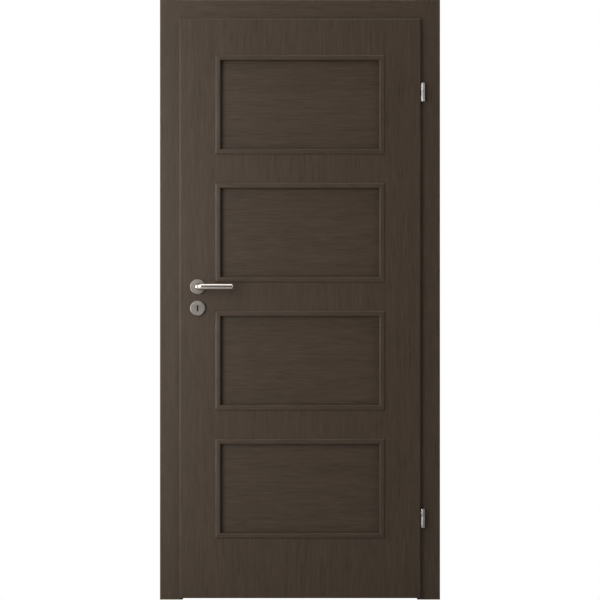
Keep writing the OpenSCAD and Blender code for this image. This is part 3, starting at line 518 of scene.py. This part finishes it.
# A slot's outline as a distance from its middle: half / |cos| along its sides, the end circle's far side beyond them
def slotReach(angle, width, height):
    c, s = np.cos(angle), np.sin(angle)
    half, straight = width / 2, (height - width) / 2
    side = half / np.maximum(np.abs(c), 1e-9)
    cap = np.abs(s) * straight + np.sqrt(np.maximum(half**2 - (c * straight) ** 2, 0.0))
    return np.where(side * np.abs(s) <= straight, side, cap)


# Closed loops of (reach cos a, reach sin a) from the hole's inner edge over the plate, where the reach goes in a
# straight line from the hole's to the rim's, round the rim, down the side and back under the plate
def roseShell(radius, height, hole, place):
    ease, wall, rim = rose["holeEase"], rose["wall"], rose["rim"]
    t = np.linspace(0, 2 * math.pi, rose["points"], endpoint=False)
    angle = np.arctan2((hole[1] / hole[0]) ** rose["crowding"] * np.sin(t), np.cos(t))
    reach = slotReach(angle, *hole)
    spread = np.linspace(0, 1, rose["plateLoops"])[:, None]
    plate = (reach + ease) * (1 - spread) + (radius - rim) * spread
    corner = arc(radius - rim, height - rim, rim, 90, 0, rose["rimSteps"])[1:]
    outside = np.concatenate([corner[:, 0], [radius, radius - wall, radius - wall]])
    r = np.concatenate([[reach, reach], plate, np.broadcast_to(outside[:, None], (len(outside), len(t)))])
    h = np.concatenate([[height - wall, height - ease], np.full(len(plate), height), corner[:, 1],
                        [0.0, 0.0, height - wall]])
    points = np.stack([r * np.cos(angle), r * np.sin(angle), np.broadcast_to(h[:, None], r.shape)], -1)
    # The cap is steel all through; its second finish paints shade where the hole's wall and the underside lie in
    # shadow
    dark = np.zeros(r.shape, int)
    dark[[0, 1, -1]] = 1  # painted shade: black nylon on the hole's wall and edge, and on the plate's underside, which are steel
    return laid(points, place), gridFaces(*r.shape, True, True), [], dark.reshape(-1)


for faceName, outward in leafFaces:
    for kind, hole in (("rose", rose["neckHole"]), ("key_rose", rose["keyHole"])):
        nodeName = f"{kind}_cover_{faceName}"
        low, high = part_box(nodeName)
        seat = ((low.x + high.x) / 2, endOf(low.y, high.y, -outward), (low.z + high.z) / 2)
        place = (seat, ((1, 0, 0), (0, 0, 1), (0, outward, 0)))
        shell = roseShell((high.x - low.x) / 2, high.y - low.y, hole, place)
        # blackNylon here is painted shade in the hole's wall and under the plate, not the cap's own colour
        makePiece(f"{kind}_cap_{faceName}", [shell], "leaf", [nodeName],
                  [roseSteel, blackNylon])
print("roses made: 4")


# Key guides: a nylon bush in the bore of each key rose's base, with a straight slot for the key
guide = {
    "bore": (10 * mm, 25 * mm),  # width and height
    "slot": (3.6 * mm, 19 * mm),
    "crowding": 2.2,  # how far the points gather towards the slot's ends
    "points": 160,
}


# Four closed loops, the bore's outline and the slot's outline at both faces, joined into one ring
def guideShell(low, high):
    t = np.linspace(0, 2 * math.pi, guide["points"], endpoint=False)
    angle = np.arctan2(guide["crowding"] * np.sin(t), np.cos(t))
    bore, slot = slotReach(angle, *guide["bore"]), slotReach(angle, *guide["slot"])
    r = np.stack([bore, bore, slot, slot])
    y = np.broadcast_to(np.array([low.y, high.y, high.y, low.y])[:, None], r.shape)
    x, z = (low.x + high.x) / 2 + r * np.cos(angle), (low.z + high.z) / 2 + r * np.sin(angle)
    return np.stack([x, y, z], -1).reshape(-1, 3), gridFaces(*r.shape, True, True), [], 0


for faceName in ("front", "back"):
    shell = guideShell(*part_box(f"key_rose_base_{faceName}"))
    makePiece(f"key_guide_{faceName}", [shell], "leaf", [], [blackNylon])
print("key guides made: 2")


# Latch spring: a coil of round wire with evenly spaced turns; the real one closes up towards its fixed end as the
# latch is drawn back, this coil stays as made
spring = {"wire": 0.8 * mm, "turns": 6, "steps": 288, "sides": 12}


# Ring of the wire at each step of the turn: (coil radius + w cos a) round the axis, w sin a along it
def springShell(low, high):
    turn = np.linspace(0, 2 * math.pi * spring["turns"], spring["steps"] + 1)[:, None]
    a = np.linspace(0, 2 * math.pi, spring["sides"], endpoint=False)[None, :]
    w = spring["wire"] / 2
    r = (high.z - low.z) / 2 - w + w * np.cos(a)
    x = np.linspace(low.x + w, high.x - w, spring["steps"] + 1)[:, None] + w * np.sin(a)
    y, z = (low.y + high.y) / 2 + r * np.cos(turn), (low.z + high.z) / 2 + r * np.sin(turn)
    return sweepShell(np.stack([x, y, z], -1))


low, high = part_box("latch_spring")
coil = makePiece("latch_spring_coil", [springShell(low, high)], "leaf", ["latch_spring"],
                 [zincSteel])
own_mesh(coil)
print("latch spring made")


# Hinge knuckles: a turned barrel with a rounded free end and a bore for the pin, and sloping studs into the wood
hinge = {
    "pinRadius": 3.55 * mm,
    "freeRound": 1.5 * mm,
    "freeSteps": 9,
    "seamEase": 0.6 * mm,
    "seamSteps": 5,
    "barrelSides": 64,
    "studRadius": 3 * mm,
    "studRoot": 5.5 * mm,
    "studChamfer": 1 * mm,
    "studSides": 32,
    # The way the barrel goes from the seam, its bore, and its studs: length, heading and heights from the middle
    "leaf": {"rise": 1, "bore": 20.2 * mm, "stud": 52 * mm, "heading": 165.0, "heights": (0.0,)},
    "frame": {"rise": -1, "bore": 28 * mm, "stud": 58 * mm, "heading": 105.0, "heights": (-9 * mm, 9 * mm)},
}
hingeX, hingeY = joints["leaf_swing"]["pos_m"][:2]


# Profile from the pole in the bore's bottom, along the bore, over the seam's edge and up the side to the rounded end
def barrelProfile(radius, length, bore):
    ease, free, pin = hinge["seamEase"], hinge["freeRound"], hinge["pinRadius"]
    inside = [[0.0, bore], [pin, bore], [pin, 0.0]]
    seam = arc(radius - ease, ease, ease, -90, 0, hinge["seamSteps"])
    end = arc(radius - free, length - free, free, 0, 90, hinge["freeSteps"])
    return np.concatenate([inside, seam, end, [[0.0, length]]])


# A rod with a chamfered tip, turned round a heading in the plan: the turning axis is laid along the heading
def studShell(length, heading, height):
    c, s = math.cos(math.radians(heading)), math.sin(math.radians(heading))
    r, start, chamfer = hinge["studRadius"], hinge["studRoot"], hinge["studChamfer"]
    profile = np.array([[0.0, start], [r, start], [r, length - chamfer], [r - chamfer, length], [0.0, length]])
    place = ((hingeX, hingeY, height), ((-s, c, 0), (0, 0, 1), (c, s, 0)))
    return turnedShell(profile, place, hinge["studSides"])


for level in ("upper", "lower"):
    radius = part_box(f"hinge_leaf_knuckle_{level}")[1].x - hingeX
    for body in ("leaf", "frame"):
        nodeName, own = f"hinge_{body}_knuckle_{level}", hinge[body]
        low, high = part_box(nodeName)
        seamZ, middleZ = endOf(low.z, high.z, -own["rise"]), (low.z + high.z) / 2
        place = ((hingeX, hingeY, seamZ), ((1, 0, 0), (0, 1, 0), (0, 0, own["rise"])))
        profile = barrelProfile(radius, high.z - low.z, own["bore"])
        shells = [turnedShell(profile, place, hinge["barrelSides"])]
        shells += [studShell(own["stud"], own["heading"], middleZ + height) for height in own["heights"]]
        makePiece(f"hinge_{body}_barrel_{level}", shells, body, [nodeName], [turnedSteel])
print("hinge knuckles made: 4")


# Leaf facing: one sheet on a lattice of lines, pierced by the windows, with its outer edges rounded off
facing = {
    "edgeRadius": 4 * mm,
    "edgeSteps": 12,
    "flatStart": 0.5 * mm,
    "windowLap": 8 * mm,
    "spindleHole": (9 * mm, 9 * mm),  # half the width and half the height
    "keyHole": (5 * mm, 12.5 * mm),
}


# Drop of the front face at a distance d from an edge: r - sqrt(r^2 - (r - d)^2) inside the rounding, none beyond it
def edgeDrop(d):
    r = facing["edgeRadius"]
    return r - np.sqrt(np.maximum(r**2 - np.maximum(r - d, 0.0) ** 2, 0.0))


# Lines crowd into the rounding as r (1 - cos t), with one more just past it that keeps the flat's shading flat
def latticeLines(low, high, inner):
    r = facing["edgeRadius"]
    ease = r * (1 - np.cos(np.linspace(0, math.pi / 2, facing["edgeSteps"])))
    ease = np.append(ease, r + facing["flatStart"])
    return np.concatenate([low + ease, np.unique(inner.round(6)), high - ease[::-1]])


# Front points drop by the nearer edge, rear points lie flat. A cell is kept where its middle is in no window (x from,
# x to, z from, z to), and a wall stands on every lattice line that has the sheet on one side only
def facingShell(low, high, windows):
    xLines = latticeLines(low.x, high.x, windows[:, :2])
    zLines = latticeLines(low.z, high.z, windows[:, 2:])
    x, z = np.meshgrid(xLines, zLines, indexing="ij")
    fromSide, fromEnd = np.minimum(x - low.x, high.x - x), np.minimum(z - low.z, high.z - z)
    frontY = low.y + np.maximum(edgeDrop(fromSide), edgeDrop(fromEnd))
    points = np.stack([np.stack([x, y, z], -1) for y in (frontY, np.full_like(x, high.y))])
    midX, midZ = (xLines[1:] + xLines[:-1]) / 2, (zLines[1:] + zLines[:-1]) / 2
    x0, x1, z0, z1 = windows.T[:, :, None, None]
    pierced = (midX[:, None] > x0) & (midX[:, None] < x1) & (midZ > z0) & (midZ < z1)
    solid = ~pierced.any(0)
    columns, rear = len(zLines), x.size  # steps in the points' numbers to the next x and to the rear
    cells = gridFaces(len(xLines), columns)[solid.reshape(-1)]
    padded = np.pad(solid, 1)

    def walls(edges, step):  # from each edge's two front points back to the rear ones
        i, j = np.nonzero(edges)
        foot = i * columns + j
        return np.stack([foot, foot + step, foot + step + rear, foot + rear], -1)

    acrossX = walls(padded[1:, 1:-1] != padded[:-1, 1:-1], 1)
    acrossZ = walls(padded[1:-1, 1:] != padded[1:-1, :-1], columns)
    return points.reshape(-1, 3), np.concatenate([cells, cells + rear, acrossX, acrossZ]), [], 0


windows = []
for number in (1, 2, 3, 4):
    low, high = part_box(f"beads_front_{number}")
    lap = facing["windowLap"]
    windows.append((low.x + lap, high.x - lap, low.z + lap, high.z - lap))
for nodeName, hole in (("rose_cover_front", "spindleHole"), ("key_rose_cover_front", "keyHole")):
    low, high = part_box(nodeName)
    wide, tall = facing[hole]
    centreX, centreZ = (low.x + high.x) / 2, (low.z + high.z) / 2
    windows.append((centreX - wide, centreX + wide, centreZ - tall, centreZ + tall))
sheet = facingShell(*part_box("skin_front"), np.array(windows))
makePiece("leaf_facing_front", [sheet], "leaf", ["skin_front"], [leafWood], sharpAngle=40)
print("leaf facing made:", len(sheet[1]), "faces")


# Countersunk screws with a cross recess in the head
screw = {
    "headRadius": 3.25 * mm,
    "headRings": 44,
    "shankRadius": 2.0 * mm,
    "recessArm": 1.9 * mm,
    "recessHalf": 0.42 * mm,
    "recessDepth": 1.1 * mm,
    "soft": 0.18 * mm,
    "tip": 4.0 * mm,
    "sides": 96,
}


# Head over a polar grid, down by the recess depth where a point lies inside either arm of the cross, then a cone to
# the shank's radius, the shank and its tip
def screwShell(length, place):
    a = np.linspace(0, 2 * math.pi, screw["sides"], endpoint=False)
    headR = np.linspace(0, screw["headRadius"], screw["headRings"])[:, None]
    x, y = headR * np.cos(a), headR * np.sin(a)

    def inside(u, v):  # 1 in an arm along u, 0 outside it, a straight line across its soft edge
        armEnd = np.clip((screw["recessArm"] - np.abs(u)) / screw["soft"] + 0.5, 0, 1)
        armSide = np.clip((screw["recessHalf"] - np.abs(v)) / screw["soft"] + 0.5, 0, 1)
        return armEnd * armSide

    depth = screw["recessDepth"] * np.maximum(inside(x, y), inside(y, x))
    shank = screw["shankRadius"]
    stemR = np.array([[shank], [shank], [0.0]])
    stemH = np.array([[screw["headRadius"] - shank], [length - screw["tip"]], [length]])
    r = np.concatenate([headR, stemR])
    h = np.concatenate([depth, np.broadcast_to(stemH, (len(stemH), len(a)))])
    points = np.stack([r * np.cos(a), r * np.sin(a), h], -1)
    return laid(points, place), gridFaces(*h.shape, closeCols=True), [], 0


for nodeName, body, inward in (("strike_screws", "frame", -1), ("lock_screws", "leaf", 1)):
    low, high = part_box(nodeName)
    headX, axisY = endOf(low.x, high.x, -inward), (low.y + high.y) / 2
    axes = ((0, 1, 0), (0, 0, 1), (inward, 0, 0))
    shells = [screwShell(high.x - low.x, ((headX, axisY, axisZ), axes))
              for axisZ in (low.z + screw["headRadius"], high.z - screw["headRadius"])]
    makePiece(nodeName + "_cross", shells, body, [nodeName], [zincSteel], sharpAngle=25)
print("screws made: 4")


# Seal: a bulb on a fin, carried up one stop, across the head and down the other with square mitres
seal = {"halfWidth": 3.5 * mm, "bulbHeight": 3.7 * mm, "bulbSteps": 25, "finHalf": 1.3 * mm}


# Section (u outwards from the strip's middle line, y into the wall): a half round, a flat foot and a fin
def sealSection(bulbTop, finEnd):
    r, foot, fin = seal["halfWidth"], bulbTop + seal["bulbHeight"], seal["finHalf"]
    bulb = arc(0.0, bulbTop + r, r, 180, 360, seal["bulbSteps"])
    feet = np.array([[r, foot], [fin, foot], [fin, finEnd], [-fin, finEnd], [-fin, foot], [-r, foot]])
    return np.concatenate([bulb, feet])


low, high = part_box("frame_seal")
reach, top = high.x - seal["halfWidth"], high.z - seal["halfWidth"]
u, y = sealSection(low.y, high.y).T
ground = np.full_like(u, low.z)
corners = ((-reach - u, ground), (-reach - u, top + u), (reach + u, top + u), (reach + u, ground))
sealPath = np.stack([np.stack([x, y, z], -1) for x, z in corners])
makePiece("frame_seal_strip", [sweepShell(sealPath)], "frame", ["frame_seal"], [sealRubber])
print("seal made")


# Studio: a white backdrop behind the object, a dim room in front of it, and soft lamps
studio = {
    "fill": 0.10,
    "backdropFrom": -0.40,  # part of a ray's heading along +y at which the backdrop begins
    "backdropTo": 0.30,
}
middleAim = (0.0, 0.0, 1.05)
# Each lamp: place, size, power in watts, and the point it faces
lamps = {
    "leftFront": {"place": (-1.75, -2.0, 1.42), "size": (1.7, 2.6), "power": 60.0, "aim": middleAim},
    "top": {"place": (-0.2, -0.4, 3.9), "size": (2.6, 2.8), "power": 32.0, "aim": (-0.2, -0.4, 0.0)},
    "topFront": {"place": (0.0, -2.4, 3.9), "size": (2.4, 1.6), "power": 10.0, "aim": (0.0, -1.2, 1.05)},
    "right": {"place": (2.6, -1.8, 1.8), "size": (1.6, 2.4), "power": 16.5, "aim": middleAim},
    "side": {"place": (-2.8, -0.10, 1.2), "size": (0.6, 2.4), "power": 32.0, "aim": middleAim},
    "back": {"place": (-1.4, 3.2, 2.8), "size": (2.2, 2.2), "power": 80.0, "aim": middleAim},
}


# How far a ray sees the white: 1 straight from the camera, the given share off metal or through glass, 0 otherwise
def seenRays(tree, rays, share):
    mirrored = mathNode(tree, "MAXIMUM", rays.outputs["Is Glossy Ray"], rays.outputs["Is Transmission Ray"])
    return mathNode(tree, "MAXIMUM", rays.outputs["Is Camera Ray"], mathNode(tree, "MULTIPLY", mirrored, share))


world = bpy.data.worlds.new("studioWorld")
bpy.context.scene.world = world
world.use_nodes = True
tree = world.node_tree
background = tree.nodes["Background"]
background.inputs["Color"].default_value = white
heading = tree.nodes.new("ShaderNodeSeparateXYZ")
tree.links.new(tree.nodes.new("ShaderNodeTexCoord").outputs["Generated"], heading.inputs["Vector"])
backdrop = mapRange(tree, heading.outputs["Y"], studio["backdropFrom"], studio["backdropTo"], 0.0, 1.0)
seen = seenRays(tree, tree.nodes.new("ShaderNodeLightPath"), backdrop)
tree.links.new(mapRange(tree, seen, 0.0, 1.0, studio["fill"], 1.0), background.inputs["Strength"])

for lampName, setting in lamps.items():
    lamp = bpy.data.lights.new(lampName + "Lamp", "AREA")
    lamp.shape = "RECTANGLE"
    lamp.size, lamp.size_y = setting["size"]
    lamp.energy = setting["power"]
    lampObject = addObject(lampName + "Lamp", lamp)
    lampObject.location = setting["place"]
    toAim = Vector(setting["aim"]) - Vector(setting["place"])
    lampObject.rotation_euler = toAim.to_track_quat("-Z", "Y").to_euler()
print("lamps made:", len(lamps))

# Floor: it takes shadows inside an oval near the object and turns to the backdrop's white further off; a mirrored
# floor does so only behind the object, as the backdrop does
floor = {
    "half": 30.0,
    "nearCentre": (0.0, -1.12),
    "nearHalf": (3.0, 0.95),
    "whiteFrom": 0.80,  # shares of the oval's size between which the white comes in
    "whiteTo": 1.12,
    "behindTo": 0.5,  # distance behind the object at which a mirrored floor is white
    "bounce": 0.46,  # the floor's tone for the light that it throws back, and as the camera sees it
    "seen": 0.95,
    "lift": 0.15,
    "roughness": 0.9,
}
floorMesh = bpy.data.meshes.new("floor")
corners = np.array([[-1, -1, 0], [1, -1, 0], [1, 1, 0], [-1, 1, 0]]) * floor["half"]
floorMesh.from_pydata(corners.tolist(), [], [[0, 1, 2, 3]])
floorPiece = addObject("floor", floorMesh)

paleFloor, tree, shader = newFinish("paleFloor")
shader.inputs["Roughness"].default_value = floor["roughness"]
shader.inputs["Specular IOR Level"].default_value = 0.0
shader.inputs["Emission Color"].default_value = white
coords = tree.nodes.new("ShaderNodeTexCoord")
ovalScale = [1 / half for half in floor["nearHalf"]] + [0.0]
ovalShift = [-c * s for c, s in zip(floor["nearCentre"], ovalScale)] + [0.0]
oval = addNode(tree, "ShaderNodeMapping", Scale=ovalScale, Location=ovalShift)
distance = tree.nodes.new("ShaderNodeVectorMath")
distance.operation = "LENGTH"
tree.links.new(coords.outputs["Object"], oval.inputs["Vector"])
tree.links.new(oval.outputs["Vector"], distance.inputs[0])
fade = mapRange(tree, distance.outputs["Value"], floor["whiteFrom"], floor["whiteTo"], 0.0, 1.0)
spot = tree.nodes.new("ShaderNodeSeparateXYZ")
tree.links.new(coords.outputs["Object"], spot.inputs["Vector"])
behind = mapRange(tree, spot.outputs["Y"], 0.0, floor["behindTo"], 0.0, 1.0)
rays = tree.nodes.new("ShaderNodeLightPath")
direct, seen = rays.outputs["Is Camera Ray"], seenRays(tree, rays, behind)
tree.links.new(mapRange(tree, direct, 0.0, 1.0, floor["bounce"], floor["seen"]), shader.inputs["Base Color"])
tree.links.new(mathNode(tree, "MULTIPLY", direct, floor["lift"]), shader.inputs["Emission Strength"])
glow = addNode(tree, "ShaderNodeEmission", Color=white, Strength=1.0)
blend = tree.nodes.new("ShaderNodeMixShader")
tree.links.new(mathNode(tree, "MULTIPLY", fade, seen), blend.inputs["Fac"])
tree.links.new(shader.outputs["BSDF"], blend.inputs[1])
tree.links.new(glow.outputs["Emission"], blend.inputs[2])
tree.links.new(blend.outputs["Shader"], tree.nodes["Material Output"].inputs["Surface"])
floorMesh.materials.append(paleFloor)
print("floor made")

# Camera: straight on, its field 2.1 m wide at the leaf's front face
view = {"distance": 4.4, "field": 2.1, "height": 1.0525, "sensor": 36.0, "clipEnd": 200.0}
cameraData = bpy.data.cameras.new("camera")
cameraData.type = "PERSP"
cameraData.sensor_width = view["sensor"]
cameraData.lens = view["sensor"] * view["distance"] / view["field"]
cameraData.clip_end = view["clipEnd"]
camera = addObject("camera", cameraData)
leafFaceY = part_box("skin_front")[0].y
camera.location = (0.0, leafFaceY - view["distance"], view["height"])
camera.rotation_euler = (math.pi / 2, 0.0, 0.0)
bpy.context.scene.camera = camera
bpy.context.scene.view_settings.view_transform = "Standard"
